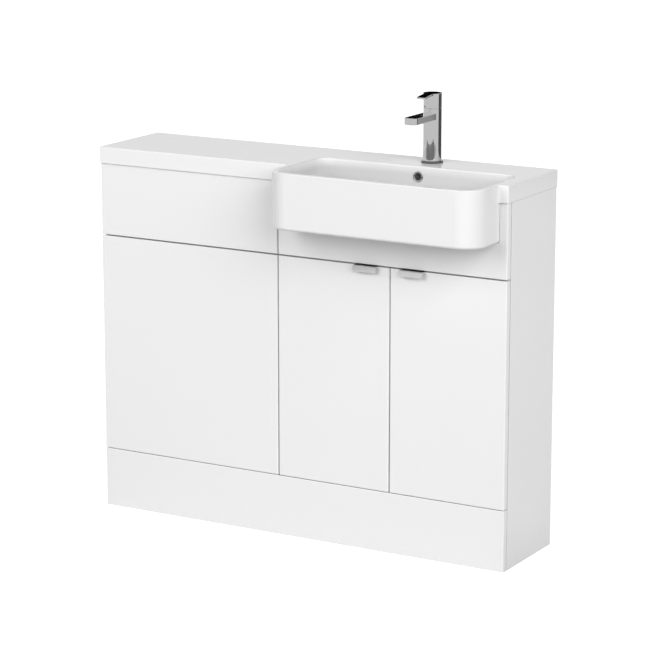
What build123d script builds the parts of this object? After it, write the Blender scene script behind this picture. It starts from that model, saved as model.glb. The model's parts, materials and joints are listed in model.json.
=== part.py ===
from build123d import *
from math import cos, radians, sin, sqrt, tan
import os

# A run of two fitted units, a WC unit and a basin unit, under one cast worktop with a bowl.
# Millimetres. X runs along the wall, to the right seen from the front. Y runs towards the wall.
# Z is up from the floor. The origin is on the floor, under the middle of the whole run.

# How far a cut runs past an open face, and how near counts as touching
overcut = 1.0
touching = 0.01

# Carcass boards
wc_unit_width = 499.0
carcass_height = 864.0
carcass_depth = 230.5
board_thickness = 18.0
board_edge_radius = 0.8
rail_height = 92.0
rear_rail_height = 80.0
rail_lap = 20.0
low_rail_rise = 18.0

# Doors, loose panels and plinth
front_thickness = 18.0
front_standoff = 2.5
front_gap = 3.0
front_edge_radius = 3.0
front_rim_radius = 1.5
plinth_height = 146.5
plinth_setback = 1.0
plinth_gap = 2.0
fascia_height = 175.0
fascia_gap = 3.5
fascia_top_gap = 1.0

# Cast worktop
top_thickness = 40.0
top_side_overhang = 2.0
top_front_overhang = 4.0
top_corner_radius = 3.0
top_edge_radius = 2.5
top_skin = 14.0
top_skirt = 14.0
top_rib = 26.0

# Bowl, cast in one with the worktop
bowl_width = 548.0
bowl_reach = 115.0
bowl_inner_margin = 31.5
bowl_end_margin = 21.5
bowl_height = 133.3
bowl_front_radius = 55.0
bowl_bottom_radius = 7.0
bowl_blend_radius = 9.0
bowl_rim = 15.5
bowl_ledge_depth = 123.5
bowl_mouth_back_radius = 30.0
bowl_mouth_edge_radius = 4.0
bowl_back_wall = 16.0
bowl_floor_thickness = 20.0
bowl_floor_fall = 1.5
bowl_floor_radius = 20.0
bowl_draft = 2.5
fascia_notch_clearance = 1.0

# Overflow duct in the bowl's back wall and floor
overflow_drop = 24.5
overflow_hole_diameter = 22.0
overflow_ring_diameter = 27.0
overflow_ring_proud = 2.0
overflow_ring_wall = 2.0
overflow_ring_sleeve = 7.0
overflow_sleeve_clearance = 0.5
duct_width = 26.0
duct_depth = 10.0
duct_height = 8.0
duct_inner_wall = 8.0
duct_outer_wall = 6.0
duct_side_wall = 7.0
duct_floor_wall = 5.0

# Waste outlet
waste_from_back = 177.0
waste_flange_diameter = 63.0
waste_flange_thickness = 2.5
waste_seal_thickness = 1.5
waste_hole_diameter = 46.0
waste_tail_diameter = 41.9
waste_thread_diameter = 41.2
waste_neck_diameter = 40.6
waste_bore_diameter = 34.0
waste_tail_length = 58.0
waste_length = 92.0
waste_slot_width = 22.0
waste_recess_clearance = 0.5
waste_hub_diameter = 15.0
waste_hub_height = 26.0
waste_arm_thickness = 3.0
waste_arm_height = 12.0
waste_arm_count = 3
waste_hub_depth = 16.0
waste_nut_across = 56.0
waste_nut_thickness = 9.0
lower_seal_diameter = 60.0
lower_seal_thickness = 5.0
plug_diameter = 40.0
plug_thickness = 4.0
plug_crown = 1.6
plug_stem_diameter = 8.0
plug_stem_length = 42.0
plug_travel = 7.0
plug_seat_depth = 1.2
plug_rim_clearance = 1.0
running_clearance = 0.05

# Mixer tap
tap_from_back = 56.0
tap_hole_diameter = 35.0
tap_boss_diameter = 76.0
tap_boss_thickness = 25.0
tap_body_diameter = 44.0
tap_seam_height = 128.0
tap_base_diameter = 52.0
tap_base_thickness = 4.0
tap_base_bevel = 0.8
tap_seal_thickness = 1.0
spout_reach = 112.0
spout_width = 34.0
spout_depth = 15.5
spout_drop_from_seam = 10.5
spout_corner_radius = 8.0
spout_edge_radius = 0.8
spout_waterway_diameter = 8.0
aerator_diameter = 21.0
aerator_height = 9.0
aerator_wall = 1.6
aerator_proud = 1.0
aerator_inset = 15.0
aerator_hole_diameter = 2.8
aerator_inner_holes = 6
aerator_rings = 2
cartridge_diameter = 35.0
cartridge_height = 43.0
cartridge_clearance = 0.5
cartridge_below_seam = 2.0
rotor_diameter = 26.0
rotor_height = 22.0
rotor_below_top = 6.0
stem_width = 8.0
stem_side_clearance = 0.05
stem_tail = 5.0
stem_grip = 13.0
tilt_pin_diameter = 3.0
tilt_pin_length = 22.0
dome_radius = 27.0
dome_thickness = 2.5
dome_hole_diameter = 28.4
dome_skirt_height = 8.0
dome_skirt_diameter = 40.0
dome_skirt_thickness = 2.0
handle_gap = 0.4
handle_height = 36.0
handle_crown_radius = 350.0
handle_plate_thickness = 3.6
handle_roof_thickness = 9.0
handle_plate_overhang = 0.5
handle_edge_radius = 0.9
lever_reach = 59.5
lever_width = 24.0
lever_root_radius = 8.0
lever_tip_radius = 4.0
handle_dot_diameter = 4.4
handle_dot_depth = 0.8
handle_dot_height = 4.5
handle_dot_turn = 26.0
tap_cavity_diameter = 34.0
tap_cavity_depth = 12.0
inlet_depth = 15.0
inlet_spacing = 16.0
inlet_from_axis = 5.0
tail_diameter = 10.0
tail_neck_diameter = 9.4
tail_bore_diameter = 8.0
tail_below_top = 204.0
tail_plain_length = 130.0
stud_diameter = 7.0
stud_from_axis = 9.0
stud_length = 80.0
stud_engagement = 12.0
clamp_plate_diameter = 50.0
clamp_plate_thickness = 2.5
clamp_slot_width = 28.0
clamp_slot_start = 2.0
clamp_seal_thickness = 3.0
stud_nut_across = 12.0
stud_nut_length = 14.0

# Concealed door hinge, measured from the door's outer edge and its front face
hinge_end_distance = 90.0
cup_diameter = 35.0
cup_depth = 13.0
cup_wall = 0.8
cup_edge_distance = 5.0
cup_bore_clearance = 0.1
cup_flange_overlap = 1.0
cup_flange_thickness = 1.0
cup_wing_width = 15.0
cup_wing_span = 57.0
cup_lug_width = 5.0
cup_lug_height = 5.5
cup_lug_thickness = 2.5
hinge_pin_diameter = 2.0
hinge_pin_from_edge = 8.7
hinge_pin_from_face = 8.0
knuckle_radius = 1.9
knuckle_width = 8.0
knuckle_side_gap = 0.3
arm_blade = 2.0
arm_post = 3.0
arm_post_from_edge = 20.7
arm_post_end = 46.0
arm_channel_start = 34.0
arm_channel_end = 94.0
arm_channel_width = 18.0
arm_channel_height = 9.0
arm_channel_radius = 2.5
plate_from_front = 20.0
plate_length = 62.0
plate_width = 18.0
plate_wing_span = 46.0
plate_wing_width = 14.0
plate_radius = 3.0

# Edge pull on each door's top edge
pull_width = 60.0
pull_from_meeting_edge = 59.5
pull_thickness = 1.6
pull_projection = 12.0
pull_lip = 15.0
pull_back_leg = 14.0
pull_corner_radius = 6.0

# Shelf, fixings and brackets
shelf_thickness = 16.0
shelf_side_clearance = 1.0
shelf_front_setback = 18.0
shelf_back_setback = 4.0
shelf_above_base = 236.0
peg_diameter = 5.0
peg_depth = 8.0
peg_clearance = 0.05
peg_spoon_length = 9.0
peg_spoon_width = 7.0
peg_spoon_thickness = 2.0
peg_hole_depth = 10.0
peg_pitch = 32.0
peg_rows = 5
peg_setback = 37.0
clip_diameter = 14.0
clip_end_distance = 30.0
fascia_clip_end_distance = 24.0
bumper_diameter = 10.0
bumper_gap = 0.3
bumper_end_distance = 25.0
unit_bolt_diameter = 6.0
unit_bolt_head_diameter = 14.0
unit_bolt_head_height = 2.0
unit_bolt_clearance = 0.25
unit_bolt_setback = 60.0
unit_bolt_end_distance = 130.0
bracket_thickness = 2.0
bracket_leg = 36.0
bracket_height = 40.0
bracket_bend_radius = 2.0
bracket_hole_diameter = 7.0
wall_bracket_height = 620.0
plinth_bracket_leg = 30.0
plinth_bracket_height = 26.0
plinth_bracket_rise = 60.0

# Places that follow from the sizes
front_set = front_thickness + front_standoff
unit_depth = front_set + carcass_depth
y_face = (bowl_reach - unit_depth) / 2
y_carcass = y_face + front_set
y_back = y_face + unit_depth
basin_unit_width = bowl_inner_margin + bowl_width + bowl_end_margin
x_left = -(wc_unit_width + basin_unit_width) / 2
x_join = x_left + wc_unit_width
x_right = x_join + basin_unit_width
x_meeting = (x_join + x_right) / 2
z_door = plinth_height + plinth_gap
z_base_top = z_door + board_thickness
z_fascia_top = carcass_height - fascia_top_gap
z_fascia = z_fascia_top - fascia_height
z_door_top = z_fascia - fascia_gap
z_shelf = z_base_top + shelf_above_base
z_top = carcass_height + top_thickness
z_mid_rail = z_door_top - rail_lap

bowl_right = x_right - bowl_end_margin
bowl_left = bowl_right - bowl_width
x_bowl = (bowl_left + bowl_right) / 2
y_bowl_front = y_face - bowl_reach
y_mouth_front = y_bowl_front + bowl_rim
y_mouth_back = y_back - bowl_ledge_depth
y_bowl_back = y_mouth_back + bowl_back_wall
z_bowl_bottom = z_top - bowl_height
z_bowl_floor = z_bowl_bottom + bowl_floor_thickness
y_duct = y_mouth_back + duct_inner_wall
y_duct_back = y_duct + duct_depth + duct_outer_wall
z_overflow = z_top - overflow_drop
y_waste = y_back - waste_from_back
z_waste_seal = z_bowl_floor - waste_flange_thickness - waste_seal_thickness
z_waste_flange = z_bowl_floor - waste_flange_thickness
z_waste_end = z_waste_flange - waste_length
waste_axis = Pos(x_bowl, y_waste, 0)

y_tap = y_back - tap_from_back
z_tap_base = z_top + tap_seal_thickness + tap_base_thickness
z_seam = z_top + tap_seam_height
z_pivot = z_seam - sqrt(dome_radius ** 2 - (tap_body_diameter / 2) ** 2)
z_spout_top = z_seam - spout_drop_from_seam
z_cartridge_top = z_seam - cartridge_below_seam
tap_axis = Pos(x_bowl, y_tap, 0)
tap_pivot = Pos(x_bowl, y_tap, z_pivot)

left_hinge_edge = x_join + front_gap / 2
hinge_heights = (z_door + hinge_end_distance, z_door_top - hinge_end_distance)


def block(x, y, z):
    """A box between two limits along each axis."""
    size = (x[1] - x[0], y[1] - y[0], z[1] - z[0])
    return Pos((x[0] + x[1]) / 2, (y[0] + y[1]) / 2, (z[0] + z[1]) / 2) * Box(*size)


def post(diameter, low, high):
    """An upright cylinder on the Z axis, between two heights."""
    return Pos(0, 0, (low + high) / 2) * Cylinder(diameter / 2, high - low)


def group(shapes):
    """Several like solids kept as one sub-part."""
    return Compound(children=[solid for shape in shapes for solid in shape.solids()])


def carcass_board(x, y, z):
    """A board whose long front edges are slightly eased."""
    board = block(x, y, z)
    front_edges = board.faces().sort_by(Axis.Y)[0].edges()
    return fillet(front_edges, board_edge_radius)


def gable(x_low):
    """A side board of a unit, from the floor to the worktop."""
    return carcass_board((x_low, x_low + board_thickness), (y_carcass, y_back), (0, carcass_height))


def bored_gable(x_low, inner_side):
    """A gable of the basin unit, with two lines of shelf holes in its inner face."""
    board = gable(x_low)
    inner_face = x_low + board_thickness if inner_side > 0 else x_low
    hole = Rot(0, 90, 0) * Cylinder(peg_diameter / 2, 2 * peg_hole_depth)
    for y in (y_carcass + peg_setback, y_back - peg_setback):
        for row in range(peg_rows):
            rise = (row - peg_rows // 2) * peg_pitch
            board -= Pos(inner_face, y, peg_height() + rise) * hole
    return board


def peg_height():
    """The height of the shelf pins in use, just under the shelf."""
    return z_shelf - peg_spoon_thickness - peg_diameter / 2


def bolt_places():
    """Where the connecting bolts pass through the two touching gables."""
    heights = (unit_bolt_end_distance, carcass_height - unit_bolt_end_distance)
    setbacks = (y_carcass + unit_bolt_setback, y_back - unit_bolt_setback)
    return [(y, z) for y in setbacks for z in heights]


def drilled_for_bolts(board):
    """A touching gable with the clearance holes of the connecting bolts."""
    hole = Rot(0, 90, 0) * Cylinder(unit_bolt_diameter / 2 + unit_bolt_clearance, 4 * board_thickness)
    for y, z in bolt_places():
        board -= Pos(x_join, y, z) * hole
    return board


def unit_bolts():
    """Two-part sleeve bolts with a flat head on each side of the gables."""
    reach = board_thickness + unit_bolt_head_height
    profile = Polyline(
        (0, -reach),
        (unit_bolt_head_diameter / 2, -reach),
        (unit_bolt_head_diameter / 2, -board_thickness),
        (unit_bolt_diameter / 2, -board_thickness),
        (unit_bolt_diameter / 2, board_thickness),
        (unit_bolt_head_diameter / 2, board_thickness),
        (unit_bolt_head_diameter / 2, reach),
        (0, reach),
        close=True,
    )
    bolt = Rot(0, 0, 90) * revolve(make_face(profile), Axis.Y)
    return group([Pos(x_join, y, z) * bolt for y, z in bolt_places()])


def front_panel(x, z):
    """A door or loose panel with softly rounded edges."""
    panel = block(x, (y_face, y_face + front_thickness), z)
    panel = fillet(panel.edges().filter_by(Axis.Z), front_edge_radius)
    return fillet(panel.edges().filter_by(Axis.X), front_rim_radius)


def basin_fascia():
    """The basin unit's upper panel, with a notch that the bowl comes through."""
    panel = front_panel((x_join + front_gap / 2, x_right), (z_fascia, z_fascia_top))
    notch_x = (bowl_left - fascia_notch_clearance, bowl_right + fascia_notch_clearance)
    notch_z = (z_bowl_bottom - fascia_notch_clearance, carcass_height)
    notch = block(notch_x, (y_face - front_thickness, y_carcass), notch_z)
    lower_edges = notch.edges().filter_by(Axis.Y).group_by(Axis.Z)[0]
    return panel - fillet(lower_edges, bowl_bottom_radius + fascia_notch_clearance)


def cross_rail(x, y_front, z_low, height):
    """A cross board between two gables."""
    return carcass_board(x, (y_front, y_front + board_thickness), (z_low, z_low + height))


def plinth():
    """The one-piece kickboard that runs across both units."""
    y_front = y_face + plinth_setback
    board = block((x_left, x_right), (y_front, y_front + front_thickness), (0, plinth_height))
    board = fillet(board.edges().filter_by(Axis.Z), front_edge_radius)
    rim = board.edges().group_by(Axis.Y)[0].filter_by(Axis.X).sort_by(Axis.Z)[-1]
    return fillet(rim, front_rim_radius)


def angle_bracket(side, face, y_flat, leg, thickness, height, z_low, flat_leg_ahead):
    """A folded angle: one leg on a gable's inner face, the other flat across the run."""
    away = 1 if flat_leg_ahead else -1
    corner = (face, y_flat)
    profile = Polyline(
        corner,
        (face + side * leg, y_flat),
        (face + side * leg, y_flat + away * thickness),
        (face + side * thickness, y_flat + away * thickness),
        (face + side * thickness, y_flat + away * leg),
        (face, y_flat + away * leg),
        close=True,
    )
    bracket = Pos(0, 0, z_low) * extrude(make_face(profile), amount=height, dir=(0, 0, 1))
    inside_bend = bracket.edges().filter_by(Axis.Z).sort_by_distance((*corner, z_low + height / 2))[1:2]
    return fillet(inside_bend, bracket_bend_radius)


def plinth_brackets():
    """Angles that hold the plinth just clear of the gables' front edges."""
    y_flat = y_face + plinth_setback + front_thickness
    thickness = y_carcass - y_flat
    return group([
        angle_bracket(side, face, y_flat, plinth_bracket_leg, thickness,
                      plinth_bracket_height, plinth_bracket_rise, True)
        for side, face in gable_inner_faces()
    ])


def gable_inner_faces():
    """Each gable's inner face, with the direction into its unit."""
    return [
        (1, x_left + board_thickness),
        (-1, x_join - board_thickness),
        (1, x_join + board_thickness),
        (-1, x_right - board_thickness),
    ]


def wall_brackets():
    """Steel angles with a hole for the wall screw, one on each gable."""
    brackets = []
    z_low = wall_bracket_height - bracket_height / 2
    for side, face in gable_inner_faces():
        bracket = angle_bracket(side, face, y_back, bracket_leg, bracket_thickness,
                                bracket_height, z_low, False)
        hole = Rot(90, 0, 0) * Cylinder(bracket_hole_diameter / 2, 4 * bracket_thickness)
        brackets.append(bracket - Pos(face + side * bracket_leg / 2, y_back, wall_bracket_height) * hole)
    return group(brackets)


def panel_clips():
    """Push-fit spacers between the loose panels and the gables' front edges."""
    clip = Rot(90, 0, 0) * Cylinder(clip_diameter / 2, front_standoff)
    y_middle = y_carcass - front_standoff / 2
    panel_heights = (z_door + clip_end_distance, z_door_top - clip_end_distance)
    fascia_heights = (z_fascia + fascia_clip_end_distance, z_fascia_top - fascia_clip_end_distance)
    half_board = board_thickness / 2
    wc_edges = (x_left + half_board, x_join - half_board)
    basin_edges = (x_join + half_board, x_right - half_board)
    places = [(x, z) for x in wc_edges for z in panel_heights + fascia_heights]
    places += [(x, z) for x in basin_edges for z in fascia_heights]
    return group([Pos(x, y_middle, z) * clip for x, z in places])


def shelf():
    """The loose shelf, with eased front edges."""
    x = (x_join + board_thickness + shelf_side_clearance, x_right - board_thickness - shelf_side_clearance)
    y = (y_carcass + shelf_front_setback, y_back - shelf_back_setback)
    return carcass_board(x, y, (z_shelf, z_shelf + shelf_thickness))


def shelf_pins():
    """Four pins, each a round peg in the gable and a spoon under the shelf."""
    pins = []
    for side, face in gable_inner_faces()[2:]:
        peg_x = sorted((face - side * peg_depth, face + side * peg_spoon_length))
        peg_length = peg_x[1] - peg_x[0]
        peg = Rot(0, 90, 0) * Cylinder(peg_diameter / 2 - peg_clearance, peg_length)
        spoon_x = sorted((face, face + side * peg_spoon_length))
        for y in (y_carcass + peg_setback, y_back - peg_setback):
            pin = Pos(sum(peg_x) / 2, y, peg_height()) * peg
            spoon_y = (y - peg_spoon_width / 2, y + peg_spoon_width / 2)
            spoon_z = (z_shelf - peg_spoon_thickness - peg_diameter / 2, z_shelf)
            pins.append(pin + block(spoon_x, spoon_y, spoon_z))
    return group(pins)


def door_bumpers():
    """Soft dots with a bevelled rim on the carcass, near the doors' free corners."""
    thickness = front_standoff - bumper_gap
    dot = post(bumper_diameter, 0, thickness)
    dot = Rot(90, 0, 0) * chamfer(dot.edges().sort_by(Axis.Z)[-1], thickness / 2)
    heights = (z_door + board_thickness / 2, z_mid_rail + rail_lap / 2)
    offsets = (-bumper_end_distance, bumper_end_distance)
    return group([Pos(x_meeting + dx, y_carcass, z) * dot for dx in offsets for z in heights])


def hinge_place(side, edge, z):
    """Maps a left-hand hinge, drawn from the door's edge and face, to its place."""
    def place(shape):
        turned = shape if side > 0 else mirror(shape, about=Plane.YZ)
        return Pos(edge, y_face, z) * turned
    return place


def cup_centre():
    return cup_edge_distance + cup_diameter / 2


def door(side, edge, meeting_edge):
    """A door leaf with its blind hinge bores."""
    leaf = front_panel(sorted((edge, meeting_edge)), (z_door, z_door_top))
    radius = cup_diameter / 2 + cup_bore_clearance
    bore = Pos(cup_centre(), front_thickness, 0) * (Rot(90, 0, 0) * Cylinder(radius, 2 * cup_depth))
    for z in hinge_heights:
        leaf -= hinge_place(side, edge, z)(bore)
    return leaf


def hinge_cup():
    """A pressed cup with its screw wings and the two lugs that hold the pin."""
    radius = cup_diameter / 2
    flange_radius = radius + cup_flange_overlap
    top = front_thickness + cup_flange_thickness
    bottom = front_thickness - cup_depth
    profile = Polyline(
        (0, bottom),
        (radius, bottom),
        (radius, front_thickness),
        (flange_radius, front_thickness),
        (flange_radius, top),
        (radius - cup_wall, top),
        (radius - cup_wall, bottom + cup_wall),
        (0, bottom + cup_wall),
        close=True,
    )
    cup = Pos(cup_centre(), 0, 0) * revolve(make_face(profile), Axis.Y)
    wing = SlotOverall(cup_wing_span, cup_wing_width, rotation=90)
    wings = extrude(Plane.XZ * wing, amount=-cup_flange_thickness)
    wings = Pos(cup_centre(), front_thickness, 0) * wings
    mouth = Rot(90, 0, 0) * Cylinder(radius - cup_wall, 4 * front_thickness)
    cup += wings - Pos(cup_centre(), front_thickness, 0) * mouth
    lug_x = (hinge_pin_from_edge - cup_lug_width / 2, hinge_pin_from_edge + cup_lug_width / 2)
    lug_y = (bottom + cup_wall / 2, bottom + cup_wall + cup_lug_height)
    inner = knuckle_width / 2 + knuckle_side_gap
    body = Pos(cup_centre(), front_thickness, 0) * (Rot(90, 0, 0) * Cylinder(radius, 2 * cup_depth))
    for low in (inner, -inner - cup_lug_thickness):
        cup += block(lug_x, lug_y, (low, low + cup_lug_thickness)) & body
    pin_hole = Pos(hinge_pin_from_edge, hinge_pin_from_face, 0) * Cylinder(hinge_pin_diameter / 2, cup_diameter)
    return cup - pin_hole


def hinge_pin():
    length = knuckle_width + 2 * (knuckle_side_gap + cup_lug_thickness)
    return Pos(hinge_pin_from_edge, hinge_pin_from_face, 0) * Cylinder(hinge_pin_diameter / 2, length)


def hinge_arm():
    """The gooseneck: a knuckle on the pin, a blade across the cup, a post and a channel."""
    blade_y = (hinge_pin_from_face - arm_blade / 2, hinge_pin_from_face + arm_blade / 2)
    post_x = (arm_post_from_edge, arm_post_from_edge + arm_post)
    half_knuckle = (-knuckle_width / 2, knuckle_width / 2)
    knuckle = Pos(hinge_pin_from_edge, hinge_pin_from_face, 0) * Cylinder(knuckle_radius, knuckle_width)
    blade = block((hinge_pin_from_edge, post_x[1]), blade_y, half_knuckle)
    neck = block(post_x, (blade_y[0], arm_post_end), half_knuckle)
    channel_x = (arm_post_from_edge, arm_post_from_edge + arm_channel_height)
    half_channel = (-arm_channel_width / 2, arm_channel_width / 2)
    channel = block(channel_x, (arm_channel_start, arm_channel_end), half_channel)
    crown = channel.faces().sort_by(Axis.X)[-1].edges()
    channel = fillet(crown, arm_channel_radius)
    arm = knuckle + blade + neck + channel
    hole_radius = hinge_pin_diameter / 2 + running_clearance
    return arm - Pos(hinge_pin_from_edge, hinge_pin_from_face, 0) * Cylinder(hole_radius, cup_diameter)


def hinge_plate(gable_from_edge):
    """A mounting plate that makes up the distance from the gable to the arm."""
    thickness = arm_post_from_edge - gable_from_edge
    y_low = front_set + plate_from_front
    foot = Pos(y_low + plate_length / 2, 0) * RectangleRounded(plate_length, plate_width, plate_radius)
    wing_middle = y_low + plate_length / 2
    wing = Pos(wing_middle, 0) * RectangleRounded(plate_wing_width, plate_wing_span, plate_radius)
    plate = extrude(Plane.YZ * (foot + wing), amount=thickness)
    return Pos(gable_from_edge, 0, 0) * plate


def hinge_set(side, edge, shape):
    """The same hinge piece at the top and bottom hinges of one door."""
    return group([hinge_place(side, edge, z)(shape) for z in hinge_heights])


def hinge_plates():
    """All four mounting plates; those beside the joint between the units are thicker."""
    left = hinge_plate(board_thickness - front_gap / 2)
    right = hinge_plate(board_thickness)
    return group([hinge_set(1, left_hinge_edge, left), hinge_set(-1, x_right, right)])


def door_pull(side):
    """A strip folded over the door's top edge, with a lip to pull on in front."""
    half = pull_thickness / 2
    y_back_leg = y_face + front_thickness + half
    y_lip = y_face - pull_projection + half
    z_cap = z_door_top + half
    z_lip = z_door_top + pull_thickness - pull_lip
    path = FilletPolyline(
        (0, y_back_leg, z_door_top - pull_back_leg),
        (0, y_back_leg, z_cap),
        (0, y_lip, z_cap),
        (0, y_lip, z_lip),
        radius=front_rim_radius + half,
    )
    section = Plane(path @ 0, x_dir=(1, 0, 0), z_dir=path % 0) * Rectangle(pull_width, pull_thickness)
    strip = sweep(section, path=path)
    lip_edges = [edge for edge in strip.edges().filter_by(Axis.Y) if edge.center().Y < y_face]
    strip = fillet([edge for edge in lip_edges if edge.center().Z < z_door_top - half], pull_corner_radius)
    return Pos(x_meeting + side * pull_offset(), 0, 0) * strip


def pull_offset():
    return pull_from_meeting_edge + front_gap / 2


def plan_face(x, y, z, front_radius, back_radius):
    """A rectangle seen in plan, with one radius at the front corners and one at the back."""
    middle = Pos((x[0] + x[1]) / 2, (y[0] + y[1]) / 2, z)
    face = middle * Rectangle(x[1] - x[0], y[1] - y[0])
    face = fillet(face.vertices().group_by(Axis.Y)[0], front_radius)
    return fillet(face.vertices().group_by(Axis.Y)[-1], back_radius)


def bowl_hollow():
    """The inside of the bowl: drafted walls, a floor that falls to the waste, round corners."""
    mouth_x = (bowl_left + bowl_rim, bowl_right - bowl_rim)
    mouth = plan_face(mouth_x, (y_mouth_front, y_mouth_back), z_top,
                      bowl_front_radius - bowl_rim, bowl_mouth_back_radius)
    hollow = extrude(mouth, amount=bowl_height, dir=(0, 0, -1), taper=bowl_draft)
    slope = radians(bowl_floor_fall)
    floor = Plane(origin=(x_bowl, y_waste, z_bowl_floor), x_dir=(1, 0, 0), z_dir=(0, sin(slope), cos(slope)))
    hollow = split(hollow, bisect_by=floor, keep=Keep.TOP)
    return fillet(hollow.faces().sort_by(Axis.Z)[0].edges(), bowl_floor_radius)


def worktop_pockets():
    """The hollows under the worktop, between its skirt and its ribs."""
    z = (carcass_height, z_top - top_skin)
    y = (y_carcass, y_back - top_skirt)
    rib = top_rib / 2
    wc_middle = (x_left + x_join) / 2
    left = block((x_left + board_thickness, wc_middle - rib / 2), y, z)
    right = block((wc_middle + rib / 2, x_join - rib), y, z)
    ledge_y = (y_duct_back, y_back - top_skirt)
    ledge = block((bowl_left + rib, bowl_right - rib), ledge_y, z)
    boss = tap_axis * post(tap_boss_diameter, z_top - tap_boss_thickness, z_top)
    pockets = [left, right, ledge - boss]
    return [fillet(pocket.edges().filter_by(Axis.Z), top_corner_radius) for pocket in pockets[:2]] + pockets[2:]


def overflow_duct():
    """The cast passage from the overflow hole, down the back wall and under the floor."""
    half = duct_width / 2
    z_low = z_bowl_bottom + duct_floor_wall
    drop = block((x_bowl - half, x_bowl + half), (y_duct, y_duct + duct_depth),
                 (z_low, z_overflow + overflow_hole_diameter / 2))
    run = block((x_bowl - half, x_bowl + half), (y_waste, y_duct + duct_depth), (z_low, z_low + duct_height))
    hole = Rot(90, 0, 0) * Cylinder(overflow_hole_diameter / 2, 2 * bowl_back_wall)
    return drop + run + Pos(x_bowl, y_duct - bowl_back_wall + duct_depth / 2, z_overflow) * hole


def basin_top():
    """The cast worktop and bowl, in one piece."""
    plate_x = (x_left - top_side_overhang, x_right + top_side_overhang)
    plate_y = (y_face - top_front_overhang, y_back)
    plate = block(plate_x, plate_y, (carcass_height, z_top))
    plate = fillet(plate.edges().filter_by(Axis.Z).group_by(Axis.Y)[0], top_corner_radius)
    outer = plan_face((bowl_left, bowl_right), (y_bowl_front, y_bowl_back), z_bowl_bottom,
                      bowl_front_radius, bowl_bottom_radius)
    outer = extrude(outer, amount=bowl_height, dir=(0, 0, 1))
    outer = fillet(outer.faces().sort_by(Axis.Z)[0].edges(), bowl_bottom_radius)
    cast = plate + outer
    blend_x = (bowl_left - touching, bowl_right + touching)
    blend_y = (plate_y[0] - touching, plate_y[0] + touching)
    upright = cast.edges().filter_by(Axis.Z)
    blends = upright.filter_by_position(Axis.X, *blend_x).filter_by_position(Axis.Y, *blend_y)
    cast = fillet(blends, bowl_blend_radius)
    rim = cast.faces().sort_by(Axis.Z)[-1].edges()
    cast = fillet(rim, top_edge_radius)
    half_boss = duct_width / 2 + duct_side_wall
    boss = block((x_bowl - half_boss, x_bowl + half_boss), (y_mouth_back, y_duct_back),
                 (z_bowl_bottom, z_top - top_skin))
    cast += fillet(boss.edges().filter_by(Axis.Z).group_by(Axis.Y)[-1], duct_outer_wall)
    for pocket in worktop_pockets():
        cast -= pocket
    cast -= bowl_hollow()
    mouth = cast.faces().sort_by(Axis.Z)[-1].inner_wires()[0]
    cast = fillet(mouth.edges(), bowl_mouth_edge_radius)
    cast -= overflow_duct()
    cast -= waste_axis * post(waste_hole_diameter, z_bowl_bottom - overcut, z_top)
    recess = waste_flange_diameter + 2 * waste_recess_clearance
    cast -= waste_axis * post(recess, z_waste_seal, z_top)
    return cast - tap_axis * post(tap_hole_diameter, carcass_height, z_top + overcut)


def ring(outer, inner, low, high):
    """A flat ring on the Z axis, between two heights."""
    return post(outer, low, high) - post(inner, low - overcut, high + overcut)


def overflow_ring():
    """A domed trim ring whose sleeve goes into the overflow hole, square to the drafted wall."""
    outer = overflow_ring_diameter / 2
    sleeve = overflow_hole_diameter / 2 - overflow_sleeve_clearance
    bore = sleeve - overflow_ring_wall
    dome = ThreePointArc((bore, 0), ((bore + outer) / 2, -overflow_ring_proud), (outer, 0))
    profile = dome + Polyline(
        dome @ 1,
        (sleeve, 0),
        (sleeve, overflow_ring_sleeve),
        (bore, overflow_ring_sleeve),
        dome @ 0,
    )
    y_wall = y_mouth_back - overflow_drop * tan(radians(bowl_draft))
    return Pos(x_bowl, y_wall, z_overflow) * (Rot(-bowl_draft, 0, 0) * revolve(make_face(profile), Axis.Y))


def waste_body():
    """The waste: flange, slotted neck, thread and plain tail, with a hub for the plug."""
    z_neck = z_bowl_bottom - running_clearance
    z_thread = z_waste_end + waste_tail_length
    body = post(waste_flange_diameter, z_waste_flange, z_bowl_floor)
    body += post(waste_neck_diameter, z_neck, z_waste_flange)
    body += post(waste_thread_diameter, z_thread, z_neck)
    body += post(waste_tail_diameter, z_waste_end, z_thread)
    body -= post(waste_bore_diameter, z_waste_end, z_bowl_floor)
    mouth = plug_diameter + 2 * plug_rim_clearance
    body -= post(mouth, z_bowl_floor - plug_seat_depth, z_bowl_floor)
    half_slot = waste_slot_width / 2
    z_slot = z_bowl_bottom + duct_floor_wall
    body -= block((-half_slot, half_slot), (-waste_neck_diameter, waste_neck_diameter),
                  (z_slot, z_slot + duct_height))
    z_hub_top = z_bowl_floor - waste_hub_depth
    z_hub = z_hub_top - waste_hub_height
    half_arm = waste_arm_thickness / 2
    arm_end = (waste_bore_diameter + waste_neck_diameter) / 4
    arm = block((-half_arm, half_arm), (0, arm_end), (z_hub, z_hub + waste_arm_height))
    for turn in range(waste_arm_count):
        body += Rot(0, 0, turn * 360 / waste_arm_count) * arm
    body += post(waste_hub_diameter, z_hub, z_hub_top)
    guide = post(plug_stem_diameter + 2 * running_clearance, z_hub - overcut, z_hub_top + overcut)
    return waste_axis * (body - guide)


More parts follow.
